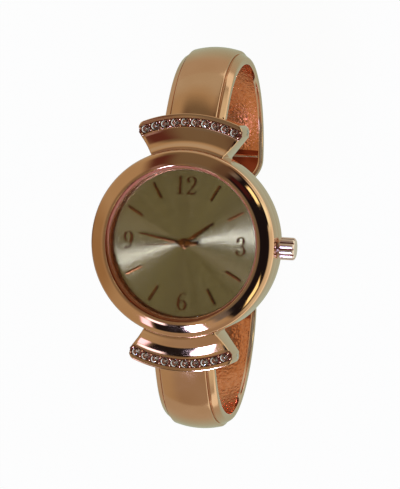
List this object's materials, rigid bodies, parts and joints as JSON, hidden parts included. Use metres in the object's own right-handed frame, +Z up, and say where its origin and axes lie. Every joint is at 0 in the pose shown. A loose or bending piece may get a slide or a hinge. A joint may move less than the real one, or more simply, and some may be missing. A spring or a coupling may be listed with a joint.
{
  "type": "bangle wristwatch",
  "caption": "Round wristwatch whose flared lugs, set with a row of stones, hold two spring-hinged half-bangle arms.",
  "frame": {"origin": "centre of the case back's outer flat face", "axes": "+Z up through the dial, +Y to 12 o'clock, +X to 3 o'clock and the crown"},
  "size_m": [0.0358, 0.0692, 0.0415],
  "materials": {
    "rose_gold": "polished rose gold plating",
    "bangle_gold": "polished rose gold outside, pebbled inside",
    "crystal": "clear flat crystal",
    "stone": "clear cut stones",
    "dial_champagne": "champagne sunray",
    "copper_brown": "polished copper brown",
    "steel": "satin",
    "movement_brass": "satin",
    "white_plastic": "moulded",
    "black_rubber": "moulded",
    "circuit_green": "lacquered board",
    "copper_wire": "lacquered wire"
  },
  "bodies": {
    "case": {"case_middle": "rose_gold", "bezel": "rose_gold", "crystal": "crystal", "crystal_gasket": "white_plastic", "dial_ring": "rose_gold", "dial": "dial_champagne", "hour_markers": "copper_brown", "case_back": "steel", "back_gasket": "black_rubber", "upper_lug": "rose_gold", "lower_lug": "rose_gold", "upper_stones": "stone", "lower_stones": "stone", "upper_hinge_pin": "steel", "lower_hinge_pin": "steel", "upper_hinge_springs": "steel", "lower_hinge_springs": "steel", "crown_tube": "steel", "yoke": "steel", "movement_ring": "white_plastic", "main_plate": "movement_brass", "train_bridge": "movement_brass", "circuit_board": "circuit_green", "quartz_can": "steel", "coil": "copper_wire", "coil_core": "steel", "stator": "steel", "battery": "steel", "battery_clamp": "movement_brass", "movement_screws": "steel"},
    "upper_arm": {"upper_arm": "bangle_gold"},
    "lower_arm": {"lower_arm": "bangle_gold"},
    "clutch": {"clutch_wheel": "steel"},
    "stem": {"winding_stem": "steel", "crown": "rose_gold", "crown_seal": "black_rubber"},
    "lever": {"setting_lever": "steel"},
    "seconds": {"fourth_wheel": "movement_brass", "seconds_hand": "copper_brown"},
    "minute": {"centre_wheel": "movement_brass", "minute_hand": "copper_brown"},
    "hour": {"hour_wheel": "movement_brass", "hour_hand": "copper_brown"},
    "third": {"third_wheel": "movement_brass"},
    "fifth": {"fifth_wheel": "movement_brass"},
    "rotor": {"rotor": "steel"},
    "minute_wheel": {"minute_wheel": "movement_brass"},
    "setting_wheel": {"setting_wheel": "movement_brass"}
  },
  "joints": [
    {"name": "upper_arm_hinge", "type": "hinge", "parent": "case", "child": "upper_arm", "pos_m": [0, 0.0196, 0.0004], "axis": [1, 0, 0], "range_deg": [0, 20], "stiffness_Nm_per_rad": 0.02, "springref_deg": -20.05},
    {"name": "lower_arm_hinge", "type": "hinge", "parent": "case", "child": "lower_arm", "pos_m": [0, -0.0196, 0.0004], "axis": [-1, 0, 0], "range_deg": [0, 20], "stiffness_Nm_per_rad": 0.02, "springref_deg": -20.05},
    {"name": "crown_spin", "type": "hinge", "parent": "case", "child": "clutch", "pos_m": [0.0049, 0, 0.0035], "axis": [1, 0, 0], "continuous": true},
    {"name": "crown_pull", "type": "slide", "parent": "clutch", "child": "stem", "axis": [1, 0, 0], "range_m": [0, 0.0008]},
    {"name": "setting_lever_swing", "type": "hinge", "parent": "case", "child": "lever", "pos_m": [0.00725, 0.00254, 0.00265], "axis": [0, 0, 1], "range_deg": [0, 22.08]},
    {"name": "seconds_spin", "type": "hinge", "parent": "case", "child": "seconds", "pos_m": [0, 0, 0.0035], "axis": [0, 0, -1], "continuous": true},
    {"name": "minute_spin", "type": "hinge", "parent": "case", "child": "minute", "pos_m": [0, 0, 0.0035], "axis": [0, 0, -1], "continuous": true},
    {"name": "hour_spin", "type": "hinge", "parent": "case", "child": "hour", "pos_m": [0, 0, 0.0035], "axis": [0, 0, -1], "continuous": true},
    {"name": "third_wheel_spin", "type": "hinge", "parent": "case", "child": "third", "pos_m": [0.00143, 0.0012, 0.0035], "axis": [0, 0, -1], "continuous": true},
    {"name": "fifth_wheel_spin", "type": "hinge", "parent": "case", "child": "fifth", "pos_m": [-0.00098, -0.0017, 0.0035], "axis": [0, 0, -1], "continuous": true},
    {"name": "rotor_spin", "type": "hinge", "parent": "case", "child": "rotor", "pos_m": [-0.00129, -0.00346, 0.0035], "axis": [0, 0, -1], "continuous": true},
    {"name": "minute_wheel_spin", "type": "hinge", "parent": "case", "child": "minute_wheel", "pos_m": [0.00167, -0.0003, 0.0035], "axis": [0, 0, -1], "continuous": true},
    {"name": "setting_wheel_spin", "type": "hinge", "parent": "case", "child": "setting_wheel", "pos_m": [0.00371, -0.00012, 0.0035], "axis": [0, 0, -1], "continuous": true}
  ],
  "couplings": [
    {"joint": "minute_spin", "follows": "seconds_spin", "ratio": 0.016667},
    {"joint": "hour_spin", "follows": "seconds_spin", "ratio": 0.0013889},
    {"joint": "third_wheel_spin", "follows": "seconds_spin", "ratio": -0.13333},
    {"joint": "fifth_wheel_spin", "follows": "seconds_spin", "ratio": -5},
    {"joint": "rotor_spin", "follows": "seconds_spin", "ratio": 30},
    {"joint": "minute_wheel_spin", "follows": "seconds_spin", "ratio": -0.0055556},
    {"joint": "setting_wheel_spin", "follows": "seconds_spin", "ratio": 0.0092593},
    {"joint": "setting_lever_swing", "follows": "crown_pull", "rad_per_m": 481.75}
  ]
}
